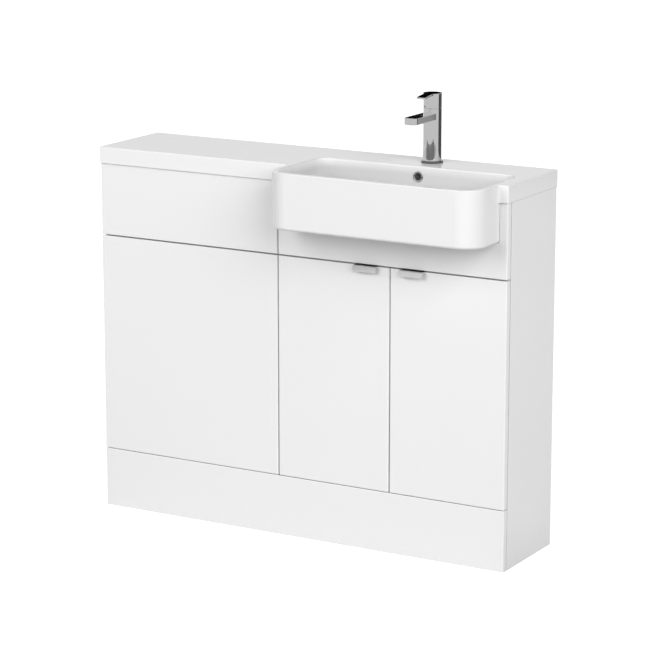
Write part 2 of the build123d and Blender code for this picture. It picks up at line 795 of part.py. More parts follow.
def waste_plug():
    """The push plug, raised, with its crowned cap and its stem."""
    z_under = z_bowl_floor - plug_seat_depth + plug_travel
    radius = plug_diameter / 2
    stem = plug_stem_diameter / 2
    cap = Line((0, z_under - plug_stem_length), (stem, z_under - plug_stem_length))
    cap += Polyline(cap @ 1, (stem, z_under), (radius, z_under), (radius, z_under + plug_thickness))
    crown = z_under + plug_thickness + plug_crown
    rim = (radius, z_under + plug_thickness)
    cap += ThreePointArc(rim, crown_point(radius / 2, radius, crown, plug_crown), (0, crown))
    cap += Line((0, crown), (0, z_under - plug_stem_length))
    return waste_axis * revolve(Plane.XZ * make_face(cap), Axis.Z)


def crown_point(offset, half_span, top, rise):
    """A point on the arc that rises over a span, at a distance from its middle."""
    radius = (half_span ** 2 + rise ** 2) / (2 * rise)
    return (offset, top - radius + sqrt(radius ** 2 - offset ** 2))


def waste_nut():
    """The hexagonal nut under the bowl."""
    low = z_bowl_bottom - lower_seal_thickness - waste_nut_thickness
    corner_radius = waste_nut_across / 2 / cos(radians(30))
    nut = extrude(Pos(0, 0, low) * RegularPolygon(corner_radius, 6), amount=waste_nut_thickness)
    return waste_axis * (nut - post(waste_thread_diameter + 2 * running_clearance, low - overcut, z_bowl_bottom))


def upper_seal():
    """The flat washer under the waste's flange."""
    return waste_axis * ring(waste_flange_diameter, waste_neck_diameter, z_waste_seal, z_waste_flange)


def lower_seal():
    """The tapered washer that the nut presses against the bowl."""
    low = z_bowl_bottom - lower_seal_thickness
    seal = ring(lower_seal_diameter, waste_thread_diameter + 2 * running_clearance, low, z_bowl_bottom)
    outer_low = seal.edges().filter_by(GeomType.CIRCLE).group_by(Axis.Z)[0].sort_by(SortBy.RADIUS)[-1]
    return waste_axis * chamfer(outer_low, lower_seal_thickness / 2)


def base_seal():
    """The flat rubber washer that the mixer stands on."""
    return tap_axis * ring(tap_base_diameter, tap_hole_diameter, z_top, z_top + tap_seal_thickness)


def base_ring():
    """The wider metal ring under the mixer's body, with a bevelled upper rim."""
    foot = ring(tap_base_diameter, tap_hole_diameter, z_top + tap_seal_thickness, z_tap_base)
    upper_rims = foot.edges().filter_by(GeomType.CIRCLE).group_by(Axis.Z)[-1]
    return tap_axis * chamfer(upper_rims.sort_by(SortBy.RADIUS)[-1], tap_base_bevel)


def mixer_body():
    """The upright body and its bar spout, bored for the cartridge, the water and the inlets."""
    body = post(tap_body_diameter, z_tap_base, z_seam)
    half = spout_width / 2
    spout = block((-half, half), (-spout_reach, 0), (z_spout_top - spout_depth, z_spout_top))
    tip = spout.edges().filter_by(Axis.Z).group_by(Axis.Y)[0]
    spout = fillet(tip, spout_corner_radius)
    long_faces = spout.faces().sort_by(Axis.Z)
    hidden_end = spout.faces().sort_by(Axis.Y)[-1].edges()
    rims = long_faces[0].edges() + long_faces[-1].edges() - hidden_end
    body += fillet(rims, spout_edge_radius)
    bore = cartridge_diameter + 2 * cartridge_clearance
    bore_floor = z_cartridge_top - cartridge_height
    body -= post(bore, bore_floor, z_seam)
    body -= post(dome_skirt_diameter, z_seam - dome_skirt_height, z_seam)
    y_outlet = aerator_inset - spout_reach
    z_outlet = z_spout_top - spout_depth
    waterway = Rot(90, 0, 0) * Cylinder(spout_waterway_diameter / 2, -y_outlet)
    body -= Pos(0, y_outlet / 2, z_spout_top - spout_depth / 2) * waterway
    seat_top = z_outlet + aerator_height - aerator_proud
    body -= Pos(0, y_outlet, 0) * post(aerator_diameter, z_outlet - overcut, seat_top)
    cavity_top = z_tap_base + tap_cavity_depth
    body -= post(tap_cavity_diameter, z_tap_base, cavity_top)
    inlet = post(tail_neck_diameter + 2 * running_clearance, z_tap_base, cavity_top + inlet_depth)
    for side in (-1, 1):
        body -= Pos(side * inlet_spacing / 2, inlet_from_axis, 0) * inlet
    body -= Pos(0, -stud_from_axis, 0) * post(stud_diameter, z_tap_base, cavity_top + stud_engagement)
    return tap_axis * body


def mixer_tails():
    """The two copper supply pipes, screwed into the mixer, with plain lower ends."""
    high = z_tap_base + tap_cavity_depth + inlet_depth
    low = z_top - tail_below_top
    tail = post(tail_neck_diameter, low, high) + post(tail_diameter, low, low + tail_plain_length)
    tail -= post(tail_bore_diameter, low - overcut, high + overcut)
    return group([tap_axis * Pos(side * inlet_spacing / 2, inlet_from_axis, 0) * tail for side in (-1, 1)])


def spout_aerator():
    """The outlet insert: a sleeve with a plate of small holes."""
    radius = aerator_diameter / 2 - running_clearance
    low = z_spout_top - spout_depth - aerator_proud
    insert = post(2 * radius, low, low + aerator_height)
    insert -= post(2 * (radius - aerator_wall), low, low + aerator_height - aerator_wall)
    hole = post(aerator_hole_diameter, low, z_spout_top)
    for ring_number in range(1, aerator_rings + 1):
        count = aerator_inner_holes * ring_number
        reach = ring_number * (radius - aerator_wall) / (aerator_rings + 1)
        for turn in range(count):
            insert -= Rot(0, 0, turn * 360 / count) * (Pos(reach, 0, 0) * hole)
    return tap_axis * (Pos(0, aerator_inset - spout_reach, 0) * insert)


def cartridge_housing():
    """The fixed cup of the ceramic cartridge."""
    low = z_cartridge_top - cartridge_height
    housing = post(cartridge_diameter, low, z_cartridge_top)
    return tap_axis * (housing - post(rotor_diameter, rotor_low() - running_clearance, z_cartridge_top))


def rotor_low():
    return z_cartridge_top - rotor_below_top - rotor_height


def slot_block(half_width, back, front, low, high):
    return block((-half_width, half_width), (-front, back), (low, high))


def cartridge_rotor():
    """The turning part of the cartridge, slotted for the stem to rock in."""
    rotor = post(rotor_diameter - 2 * running_clearance, rotor_low(), rotor_low() + rotor_height)
    half = stem_width / 2
    swing = half + stem_tail / 2
    rotor -= slot_block(half + stem_side_clearance, swing + stem_tail / 2, swing,
                        z_pivot - stem_tail - half / 2, z_cartridge_top)
    pin_hole = Rot(0, 90, 0) * Cylinder(tilt_pin_diameter / 2, rotor_diameter)
    return tap_axis * (rotor - Pos(0, 0, z_pivot) * pin_hole)


def tilt_pin():
    return tap_pivot * (Rot(0, 90, 0) * Cylinder(tilt_pin_diameter / 2, tilt_pin_length))


def lever_stem():
    """The square stem that rocks on the pin and carries the handle."""
    half = stem_width / 2
    stem = block((-half, half), (-half, half), (-stem_tail, stem_top() - z_pivot))
    stem = fillet(stem.edges().filter_by(Axis.X).group_by(Axis.Z)[0], half / 2)
    hole = Rot(0, 90, 0) * Cylinder(tilt_pin_diameter / 2 + running_clearance, 2 * stem_width)
    return tap_pivot * (stem - hole)


def stem_top():
    return z_pivot + dome_radius + handle_gap + stem_grip


def cartridge_dome():
    """The round cover over the cartridge, centred on the point that the handle rocks about."""
    rim = (tap_body_diameter / 2, z_seam)
    hole_radius = dome_hole_diameter / 2
    z_hole = z_pivot + sqrt(dome_radius ** 2 - hole_radius ** 2)
    between = (tap_body_diameter / 2 + hole_radius) / 2
    crown = ThreePointArc(rim, (between, z_pivot + sqrt(dome_radius ** 2 - between ** 2)), (hole_radius, z_hole))
    skirt = dome_skirt_diameter / 2
    inner_skirt = skirt - dome_skirt_thickness
    z_skirt = z_seam - dome_skirt_height
    inside = Polyline(
        crown @ 1,
        (hole_radius, z_hole - dome_thickness),
        (inner_skirt, z_seam),
        (inner_skirt, z_skirt),
        (skirt, z_skirt),
        (skirt, z_seam),
        crown @ 0,
    )
    return tap_axis * revolve(Plane.XZ * make_face(crown + inside), Axis.Z)


def mixer_handle():
    """The cap over the dome, with its thin crowned lever plate."""
    z_crown = z_seam + handle_height
    crown_centre = Pos(0, 0, z_crown - handle_crown_radius) * Rot(0, 90, 0)
    plate_radius_in_plan = tap_body_diameter / 2 + handle_plate_overhang
    outline = Circle(plate_radius_in_plan) + Pos(0, -lever_reach / 2, 0) * Rectangle(lever_width, lever_reach)
    outline = fillet(outline.vertices().group_by(Axis.Y)[1], lever_root_radius)
    outline = fillet(outline.vertices().group_by(Axis.Y)[0], lever_tip_radius)
    column = extrude(Pos(0, 0, z_seam) * outline, amount=handle_height)
    under = crown_centre * Sphere(handle_crown_radius - handle_plate_thickness)
    plate = column & (crown_centre * Sphere(handle_crown_radius))
    plate -= under
    rim = plate.faces().sort_by(Axis.Z)[-1].edges()
    plate = fillet(rim, handle_edge_radius)
    head = post(tap_body_diameter, z_seam + handle_gap / 2, z_crown)
    head = head & (crown_centre * Sphere(handle_crown_radius - handle_plate_thickness / 2))
    roof = z_crown - handle_roof_thickness
    head -= ring(dome_skirt_diameter - 2 * dome_skirt_thickness, 2 * stem_width, z_seam, roof)
    head -= Pos(0, 0, z_pivot) * Sphere(dome_radius + handle_gap)
    half = stem_width / 2
    socket = block((-half, half), (-half, half), (z_pivot, stem_top()))
    return tap_axis * (plate + head - socket - handle_dot_place() * handle_dot_pin())


def handle_dot_place():
    """The dot's middle on the handle's side, with its Z axis pointing out."""
    radius = tap_body_diameter / 2
    return Rot(0, 0, -handle_dot_turn) * (Pos(0, -radius, z_seam + handle_dot_height) * Rot(90, 0, 0))


def handle_dot_pin():
    return post(handle_dot_diameter, -handle_dot_depth, handle_dot_depth)


def handle_dot():
    """The small round marker that covers the handle's grub screw."""
    pin = handle_dot_place() * handle_dot_pin()
    return tap_axis * (pin & post(tap_body_diameter, z_seam, z_seam + handle_height))


def clamp_shape(low, thickness):
    """A horseshoe under the worktop, open towards the wall for the inlet pipes."""
    plate = post(clamp_plate_diameter, low, low + thickness)
    half = clamp_slot_width / 2
    plate -= block((-half, half), (-clamp_slot_start, clamp_plate_diameter), (low, low + thickness))
    return plate - Pos(0, -stud_from_axis, 0) * post(stud_diameter + 2 * running_clearance, low, low + thickness)


def stud_nut():
    low = z_top - tap_boss_thickness - clamp_seal_thickness - clamp_plate_thickness - stud_nut_length
    corner_radius = stud_nut_across / 2 / cos(radians(30))
    nut = extrude(Pos(0, 0, low) * RegularPolygon(corner_radius, 6), amount=stud_nut_length)
    nut -= post(stud_diameter + 2 * running_clearance, low, low + stud_nut_length)
    return tap_axis * (Pos(0, -stud_from_axis, 0) * nut)


def mixer_stud():
    high = z_tap_base + tap_cavity_depth + stud_engagement
    return tap_axis * (Pos(0, -stud_from_axis, 0) * post(stud_diameter, high - stud_length, high))


wc_inside = (x_left + board_thickness, x_join - board_thickness)
basin_inside = (x_join + board_thickness, x_right - board_thickness)
wc_front = (x_left, x_join - front_gap / 2)
z_rear_rail = carcass_height - rear_rail_height
y_rear_rail = y_back - board_thickness
z_low_rail = z_door + low_rail_rise
z_clamp_seal = z_top - tap_boss_thickness - clamp_seal_thickness
left_meeting_edge = x_meeting - front_gap / 2
right_meeting_edge = x_meeting + front_gap / 2

sub_parts = {
    "wc_left_gable": gable(x_left),
    "wc_right_gable": drilled_for_bolts(gable(x_join - board_thickness)),
    "wc_rear_rail": cross_rail(wc_inside, y_rear_rail, z_rear_rail, rear_rail_height),
    "wc_mid_rail": cross_rail(wc_inside, y_carcass, z_mid_rail, rail_height),
    "wc_low_rail": cross_rail(wc_inside, y_carcass, z_low_rail, rail_height),
    "wc_fascia": front_panel(wc_front, (z_fascia, z_fascia_top)),
    "wc_front_panel": front_panel(wc_front, (z_door, z_door_top)),
    "basin_left_gable": drilled_for_bolts(bored_gable(x_join, 1)),
    "basin_right_gable": bored_gable(x_right - board_thickness, -1),
    "basin_base": carcass_board(basin_inside, (y_carcass, y_back), (z_door, z_base_top)),
    "basin_rear_rail": cross_rail(basin_inside, y_rear_rail, z_rear_rail, rear_rail_height),
    "basin_low_rear_rail": cross_rail(basin_inside, y_rear_rail, z_base_top, rear_rail_height),
    "basin_mid_rail": cross_rail(basin_inside, y_carcass, z_mid_rail, rail_height),
    "basin_fascia": basin_fascia(),
    "plinth": plinth(),
    "plinth_brackets": plinth_brackets(),
    "wall_brackets": wall_brackets(),
    "panel_clips": panel_clips(),
    "unit_bolts": unit_bolts(),
    "door_bumpers": door_bumpers(),
    "shelf": shelf(),
    "shelf_pins": shelf_pins(),
    "left_door": door(1, left_hinge_edge, left_meeting_edge),
    "right_door": door(-1, x_right, right_meeting_edge),
    "left_pull": door_pull(-1),
    "right_pull": door_pull(1),
    "left_hinge_cups": hinge_set(1, left_hinge_edge, hinge_cup()),
    "right_hinge_cups": hinge_set(-1, x_right, hinge_cup()),
    "left_hinge_pins": hinge_set(1, left_hinge_edge, hinge_pin()),
    "right_hinge_pins": hinge_set(-1, x_right, hinge_pin()),
    "left_hinge_arms": hinge_set(1, left_hinge_edge, hinge_arm()),
    "right_hinge_arms": hinge_set(-1, x_right, hinge_arm()),
    "hinge_plates": hinge_plates(),
    "basin_top": basin_top(),
    "overflow_ring": overflow_ring(),
    "waste_body": waste_body(),
    "waste_upper_seal": upper_seal(),
    "waste_lower_seal": lower_seal(),
    "waste_backnut": waste_nut(),
    "waste_plug": waste_plug(),
    "mixer_base_seal": base_seal(),
    "mixer_base_ring": base_ring(),
    "mixer_body": mixer_body(),
    "spout_aerator": spout_aerator(),
    "cartridge_housing": cartridge_housing(),
    "cartridge_rotor": cartridge_rotor(),
    "tilt_pin": tilt_pin(),
    "lever_stem": lever_stem(),
    "cartridge_dome": cartridge_dome(),
    "mixer_handle": mixer_handle(),
    "handle_dot": handle_dot(),
    "mixer_tails": mixer_tails(),
    "mixer_stud": mixer_stud(),
    "mixer_clamp_seal": tap_axis * clamp_shape(z_clamp_seal, clamp_seal_thickness),
    "mixer_clamp_plate": tap_axis * clamp_shape(z_clamp_seal - clamp_plate_thickness, clamp_plate_thickness),
    "mixer_stud_nut": stud_nut(),
}

if __name__ == "__main__":
    os.makedirs("parts", exist_ok=True)
    for name, shape in sub_parts.items():
        export_step(shape, f"parts/{name}.step")
        print(name, round(shape.volume / 1000, 1), "cm3")
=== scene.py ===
# %% [markdown]
# # A fitted bathroom run: WC unit, basin unit and one cast worktop
#
# Two white gloss units stand side by side on a plinth. The left one hides a cistern, the right
# one is a cupboard with two doors. A single cast slab with a bowl lies over both, and a lever
# mixer stands behind the bowl. The solids come from a construction model in millimetres, and
# this script gives each of them its finish, adds the small fittings, the camera and the light.
# Lengths here are in metres. X runs along the wall, Y towards the wall, and Z up.

# %% Load the frame
import json
import math

import bmesh
import bpy
from mathutils import Matrix, Vector


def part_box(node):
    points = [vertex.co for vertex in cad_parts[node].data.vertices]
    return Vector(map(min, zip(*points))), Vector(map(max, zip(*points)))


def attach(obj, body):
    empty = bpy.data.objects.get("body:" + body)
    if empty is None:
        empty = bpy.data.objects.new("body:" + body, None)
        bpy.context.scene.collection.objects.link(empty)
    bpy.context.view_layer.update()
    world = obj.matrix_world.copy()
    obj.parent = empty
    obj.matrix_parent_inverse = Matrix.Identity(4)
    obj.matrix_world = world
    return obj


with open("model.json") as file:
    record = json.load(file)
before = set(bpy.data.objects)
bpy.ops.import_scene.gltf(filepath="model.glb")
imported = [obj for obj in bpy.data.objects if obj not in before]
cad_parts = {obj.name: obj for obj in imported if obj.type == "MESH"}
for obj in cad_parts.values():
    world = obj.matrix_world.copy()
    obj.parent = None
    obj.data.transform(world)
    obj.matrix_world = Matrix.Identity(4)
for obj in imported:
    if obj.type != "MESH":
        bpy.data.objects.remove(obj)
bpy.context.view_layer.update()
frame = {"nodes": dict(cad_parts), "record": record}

# %% [markdown]
# ## The camera
#
# The three families of parallel edges on the units fix where a picture of them was taken from:
# they give the turn, the tilt and the length of the lens. A long lens from six metres away keeps
# the edges nearly parallel, as in a catalogue. There is no shift and no blur with depth.

# %% Camera
camera_place = (3.161869, -5.405033, 1.950266)
camera_turn = math.radians(29.913)
camera_tilt = math.radians(13.069)
camera = bpy.data.objects.new("camera", bpy.data.cameras.new("camera"))
bpy.context.scene.collection.objects.link(camera)
camera.location = camera_place
camera.rotation_euler = (math.pi / 2 - camera_tilt, 0, camera_turn)
camera.data.sensor_width = 36
camera.data.lens = 147.33
camera.data.clip_end = 200
bpy.context.scene.camera = camera
print("camera", [round(v, 2) for v in camera.location], "lens", camera.data.lens)

# %% [markdown]
# ## Writing node trees as sums
#
# A node tree is easier to read as a formula than as a list of links. The class below wraps one
# output of a node. Adding, scaling or comparing it makes the Math node that does so, and its
# node method makes any other node: the settings first, then the values or links of its sockets.


# %% One class for shader maths
class Wire:
    """One output in a node tree. Sums written with it become Math nodes."""

    def __init__(self, tree, socket=None):
        self.tree = tree
        self.socket = socket

    def node(self, kind, settings, inputs, output=0):
        """Adds a node, sets it up, and gives its sockets their values or links."""
        made = self.tree.nodes.new(kind)
        for name, value in settings.items():
            setattr(made, name, value)
        for name, value in inputs.items():
            if isinstance(value, Wire):
                self.tree.links.new(value.socket, made.inputs[name])
            else:
                made.inputs[name].default_value = value
        return Wire(self.tree, made.outputs[output])

    def maths(self, operation, first, second=0.0):
        return self.node("ShaderNodeMath", {"operation": operation}, {0: first, 1: second})

    def __add__(self, other):
        return self.maths("ADD", self, other)

    def __radd__(self, other):
        return self.maths("ADD", other, self)

    def __sub__(self, other):
        return self.maths("SUBTRACT", self, other)

    def __rsub__(self, other):
        return self.maths("SUBTRACT", other, self)

    def __mul__(self, other):
        return self.maths("MULTIPLY", self, other)

    def __rmul__(self, other):
        return self.maths("MULTIPLY", other, self)

    def __gt__(self, other):
        return self.maths("GREATER_THAN", self, other)

    def __lt__(self, other):
        return self.maths("LESS_THAN", self, other)

    def __abs__(self):
        return self.maths("ABSOLUTE", self)


print("sums on a Wire add Math nodes")

# %% [markdown]
# ## What the finishes share
#
# Every finish reads Object coordinates. The solids keep their place in their mesh, so these are
# real metres measured from the floor, and a scale of 400 means 400 waves to a metre. A few small
# helpers cover most needs: a soft random pattern, a soft step, a blend of two colours, and a
# fine relief.


# %% Helpers for patterns
def grey(level):
    return (level, level, level, 1)


def noise(at, scale, detail=2.0, roughness=0.5):
    """A soft random pattern around 0.5, with so many waves to a metre."""
    inputs = {"Vector": at, "Scale": scale, "Detail": detail, "Roughness": roughness}
    return at.node("ShaderNodeTexNoise", {}, inputs)


def rise(value, start, end):
    """0 up to start, 1 from end on, and a smooth slope between."""
    inputs = {"Value": value, "From Min": start, "From Max": end}
    return value.node("ShaderNodeMapRange", {"interpolation_type": "SMOOTHSTEP"}, inputs)


def within(value, low, high):
    """1 between two values, and 0 outside them."""
    return (value > low) * (value < high)


def blend(mask, first, second):
    """The first colour where the mask is 0, and the second where it is 1."""
    slots = {0: mask, 6: first, 7: second}
    return mask.node("ShaderNodeMix", {"data_type": "RGBA"}, slots, output=2)


def relief(height, depth, strength=1.0):
    """A relief of so many metres between 0 and 1 of the pattern."""
    return height.node("ShaderNodeBump", {}, {"Strength": strength, "Distance": depth, "Height": height})


def axes(at):
    """The X, Y and Z of a point, as three wires."""
    split = at.node("ShaderNodeSeparateXYZ", {}, {"Vector": at})
    outputs = split.socket.node.outputs
    return [Wire(at.tree, outputs[axis]) for axis in "XYZ"]


print("helpers: grey, noise, rise, within, blend, relief, axes")

# %% [markdown]
# ## One way to make a finish
#
# A finish is a Principled shader. What is the same all over the surface goes on the shader's own
# sockets. What changes from place to place comes from a small function that is handed the
# coordinates and returns a wire for each socket that it drives.


# %% Making a finish
def finish(name, settings, pattern):
    material = bpy.data.materials.new(name)
    material.use_nodes = True
    tree = material.node_tree
    shader = tree.nodes["Principled BSDF"]
    for socket, value in settings.items():
        shader.inputs[socket].default_value = value
    at = Wire(tree).node("ShaderNodeTexCoord", {}, {}, output="Object")
    for socket, wire in pattern(at).items():
        tree.links.new(wire.socket, shader.inputs[socket])
    print("finish", name, "has", len(tree.nodes), "nodes")
    return material


finishes = {}

# %% [markdown]
# ## Gloss fronts
#
# The doors, the panels and the plinth are fibreboard with a thick white lacquer on the face and
# the edges. It is nearly flat, with the faint waviness that painters call orange peel. That
# waviness is far too fine for the mesh, so it is a relief of a hundredth of a millimetre. The
# back of each board is plain melamine, duller and a shade greyer, and mopping leaves the foot of
# the plinth a little scuffed.


# %% Lacquered fibreboard
board_back = -0.0506


def lacquer(at):
    x, y, z = axes(at)
    drift = noise(at, 3.0, detail=1.0)
    peel = noise(at, 260.0, detail=1.0)
    haze = noise(at, 14.0, detail=3.0)
    back = y > board_back
    scuff = (1 - rise(z, 0.001, 0.02)) * rise(noise(at, 90.0, detail=4.0), 0.5, 0.65)
    face = blend(drift, grey(0.795), grey(0.805))
    return {
        "Base Color": blend(back * 0.9 + scuff * 0.25, face, grey(0.72)),
        "Roughness": 0.17 + haze * 0.06 + back * 0.28 + scuff * 0.2,
        "Normal": relief(peel, 0.000012),
    }


finishes["gloss_front"] = finish("gloss_lacquer", {"IOR": 1.5}, lacquer)

# %% [markdown]
# ## Boards with a chipboard core
#
# A cabinet board is chipboard with a skin of melamine on its two faces. The edges that show get
# a strip of the same stuff, and the ones against the wall stay raw. Inside a drilled hole the
# core shows too. The core is drawn as chips: a cell pattern gives each chip its own shade of
# wood, and a fine noise of darker crumbs lies over them.


# %% Chipboard core
def chipboard(at):
    """The colour of the cut core, and its height."""
    chips = at.node("ShaderNodeTexVoronoi", {}, {"Vector": at, "Scale": 420.0}, output="Color")
    shade = axes(chips)[0]
    crumbs = noise(at, 900.0, detail=3.0)
    wood = blend(shade, (0.30, 0.19, 0.10, 1), (0.62, 0.46, 0.29, 1))
    return blend(crumbs * 0.5, wood, (0.20, 0.12, 0.06, 1)), shade * 0.6 + crumbs * 0.4


print("chipboard: cells for the chips, crumbs between them")

# %% [markdown]
# ## End panels and inner boards
#
# The two gables at the ends show their outer face, which is as glossy as the doors. Their front
# edge has a strip a millimetre thick, and its glue line is a hair darker. Just under the slab, a
# thin band along the top is painted darker, as a painted shadow of the slab's edge. Every other
# board has plain melamine, pressed with a fine pebbled texture so that it hides finger marks.

# %% End panels
panel_face = 0.5494
raw_edge = 0.1827


def end_panel(at):
    x, y, z = axes(at)
    out = abs(x)
    outer = out > panel_face
    core, chips = chipboard(at)
    hole = within(out, 0.5326, 0.5493) * within(y, -0.0470, 0.1824)
    raw = rise((y > raw_edge) + hole + (z < 0.0003), 0.5, 0.6)
    glue = 1 - rise(abs(y + 0.0466), 0.00008, 0.00020)
    # Painted shadow: a thin band just under the slab's edge is painted a darker grey.
    slab_shadow_line = rise(z, 0.8618, 0.8626)
    face = blend(noise(at, 3.0, detail=1.0), grey(0.795), grey(0.805))
    skin = blend(glue * 0.16 + (1 - outer) * 0.25 + slab_shadow_line * 0.8, face, grey(0.50))
    pebble = noise(at, 900.0, detail=1.0) * (1 - outer)
    return {
        "Base Color": blend(raw, skin, core),
        "Roughness": 0.17 + noise(at, 14.0, detail=3.0) * 0.06 + (1 - outer) * 0.25 + raw * 0.4,
        "Normal": relief(pebble + raw * chips * 4.0, 0.00005),
    }


finishes["gloss_gable"] = finish("gloss_end_panel", {"IOR": 1.5}, end_panel)


# %% Inner boards
def inner_board(at):
    x, y, z = axes(at)
    core, chips = chipboard(at)
    in_gable = within(x, -0.0692, -0.0328)
    in_base = within(z, 0.1487, 0.1663)
    hole = within(y, -0.0470, 0.1824) * (within(x, -0.0684, -0.0516) + within(x, -0.0504, -0.0336))
    raw = rise((y > raw_edge) * (in_gable + in_base) + hole * (z > 0.0003), 0.5, 0.6)
    pebble = noise(at, 900.0, detail=1.0)
    skin = blend(noise(at, 6.0), grey(0.74), grey(0.77))
    return {
        "Base Color": blend(raw, skin, core),
        "Roughness": 0.38 + pebble * 0.12 + raw * 0.4,
        "Normal": relief(pebble + raw * chips * 4.0, 0.00005),
    }


finishes["carcass"] = finish("melamine_board", {"IOR": 1.5}, inner_board)

# %% [markdown]
# ## Cast gel-coat
#
# The worktop and bowl are poured stone and resin behind a skin of white gel-coat. The skin is as
# glossy as glazed ware. Underneath, where the mould was open, the casting is greyer, dull and
# pitted by air bubbles. Both are one solid, so the finish asks where it is: outside the bowl's
# hollow and below the slab's skin, the casting is raw. Inside the bowl the white is painted
# darker as shade, fading out towards the rim and strongest at the left end, and the faces towards
# the front are painted a little darker too.

# %% White cast top
bowl_middle = 0.2545
skin_underside = 0.8905


def gelcoat(at):
    x, y, z = axes(at)
    cloud = noise(at, 5.0, detail=2.0)
    wave = noise(at, 120.0, detail=1.0)
    out = abs(x - bowl_middle)
    corners = (out - y < 0.413) * (out + y < 0.310)
    hollow = (out < 0.266) * within(y, -0.1755, 0.0675) * (z > 0.7805) * corners
    under = (abs(x) < 0.549) * within(y, -0.0665, 0.1805) * (z < skin_underside)
    raw = under * (1 - hollow)
    pits = rise(noise(at, 330.0, detail=2.0), 0.60, 0.68)
    sand = noise(at, 60.0, detail=5.0, roughness=0.65)
    # Painted shade: the bowl's hollow is darker below the rim, most at the left end, and the front faces a little.
    painted_bowl_shade = hollow * (1 - rise(z, 0.880, 0.902)) * (1 - rise(x, -0.02, 0.53) * 0.45) + (y < -0.072) * 0.14
    skin = blend(painted_bowl_shade, blend(cloud, grey(0.80), grey(0.81)), grey(0.60))
    stone = blend(sand, (0.47, 0.46, 0.43, 1), (0.66, 0.65, 0.62, 1))
    return {
        "Base Color": blend(raw, skin, blend(pits * 0.7, stone, grey(0.25))),
        "Roughness": 0.13 + cloud * 0.06 + raw * (0.50 + sand * 0.2),
        "Normal": relief(wave * 0.02 + raw * (sand - pits), 0.0005),
    }


finishes["cast_top"] = finish("cast_gelcoat", {"IOR": 1.52}, gelcoat)

# %% [markdown]
# ## Chrome
#
# Chrome mirrors what is round it, so most of its look comes from the light. Its own colour is a
# bright, slightly cold grey. A real tap is wiped often: faint smears make it a little duller in
# patches. The ring under the tap's foot has a dark reflection painted into its colour, which draws
# a line round it, and so has the narrow top of each door pull, which draws one under the fascia.
# The tail of the basin waste has a rolled thread under the bowl, which here is a wave in the
# relief, two millimetres from crest to crest.

# %% Polished chrome
waste_pitch = 0.002


def polished(at):
    x, y, z = axes(at)
    smears = noise(at, 45.0, detail=4.0, roughness=0.6)
    drops = rise(noise(at, 240.0, detail=1.0), 0.66, 0.72)
    thread = z.maths("SINE", z * (2 * math.pi / waste_pitch)) * within(z, 0.7005, 0.7650)
    bright = blend(smears, (0.87, 0.87, 0.875, 1), (0.83, 0.83, 0.835, 1))
    # Painted reflection: the top of each door pull and the ring under the tap's foot are painted dark.
    pull_top_painted_reflection = within(z, 0.6859, 0.6870) * (y < -0.0685)
    return {
        "Base Color": blend(pull_top_painted_reflection, blend(within(z, 0.9048, 0.9091), bright, grey(0.20)), grey(0.06)),
        "Roughness": 0.02 + smears * 0.05 + drops * 0.05,
        "Normal": relief(thread, 0.0004),
    }


finishes["chrome"] = finish("polished_chrome", {"Metallic": 1.0}, polished)

# %% [markdown]
# ## Zinc-plated steel
#
# Brackets, bolts, hinges and screws are pressed from steel and plated with zinc. The plating is
# softer than chrome: it has a brushed sheen with cloudy patches, and a faint yellow cast where
# the sealing coat lies thicker. The tap's stud has a millimetre thread.

# %% Zinc-plated steel
stud_pitch = 0.001


def zinc(at):
    x, y, z = axes(at)
    clouds = noise(at, 70.0, detail=4.0, roughness=0.6)
    brush = noise(at.node("ShaderNodeMapping", {}, {"Vector": at, "Scale": (1, 1, 0.06)}), 2500.0, detail=1.0)
    on_stud = within(z, 0.852, 0.934) * (abs(x - bowl_middle) < 0.0042) * (y > 0.11)
    thread = z.maths("SINE", z * (2 * math.pi / stud_pitch)) * on_stud
    return {
        "Base Color": blend(clouds, (0.56, 0.57, 0.60, 1), (0.66, 0.64, 0.58, 1)),
        "Roughness": 0.24 + clouds * 0.16,
        "Normal": relief(thread + brush * 0.05, 0.0003),
    }


finishes["steel"] = finish("zinc_plated_steel", {"Metallic": 1.0}, zinc)

# %% [markdown]
# ## Brass and copper
#
# The long nut under the tap and the lever's stem are turned brass. The two supply tails are
# copper tube. Both tarnish: the metal darkens in patches, and near the ends, where hands and
# water get to it, copper turns brown.


# %% Turned brass
def turned_brass(at):
    tarnish = rise(noise(at, 120.0, detail=5.0, roughness=0.6), 0.42, 0.72)
    return {
        "Base Color": blend(tarnish, (0.80, 0.58, 0.27, 1), (0.46, 0.30, 0.13, 1)),
        "Roughness": 0.20 + tarnish * 0.22,
        "Normal": relief(noise(at, 1500.0, detail=1.0), 0.000008),
    }


finishes["brass"] = finish("turned_brass", {"Metallic": 1.0}, turned_brass)


# %% Drawn copper
def drawn_copper(at):
    x, y, z = axes(at)
    ends = 1 - rise(z, 0.702, 0.735)
    patches = rise(noise(at, 75.0, detail=5.0, roughness=0.65), 0.40, 0.75)
    dark = rise(patches * 0.6 + ends * 0.7, 0.0, 1.0)
    return {
        "Base Color": blend(dark, (0.87, 0.45, 0.30, 1), (0.34, 0.15, 0.09, 1)),
        "Roughness": 0.20 + dark * 0.25,
        "Normal": relief(noise(at, 800.0, detail=1.0), 0.00001),
    }


finishes["copper"] = finish("drawn_copper", {"Metallic": 1.0}, drawn_copper)

# %% [markdown]
# ## Plastics and rubber
#
# The clips, the waste's back nut and the tap's cartridge are white nylon, which is satin and a
# little warm. The flow straightener and the dot on the handle are dark acetal. The door buffers
# are clear soft drops, and the seals are black rubber with a bloom of grey.


# %% White and dark plastic
def nylon(at):
    flow = noise(at, 55.0, detail=3.0)
    return {
        "Base Color": blend(flow, (0.73, 0.72, 0.69, 1), (0.78, 0.77, 0.75, 1)),
        "Roughness": 0.34 + flow * 0.12,
        "Normal": relief(noise(at, 1400.0, detail=1.0), 0.00001),
    }


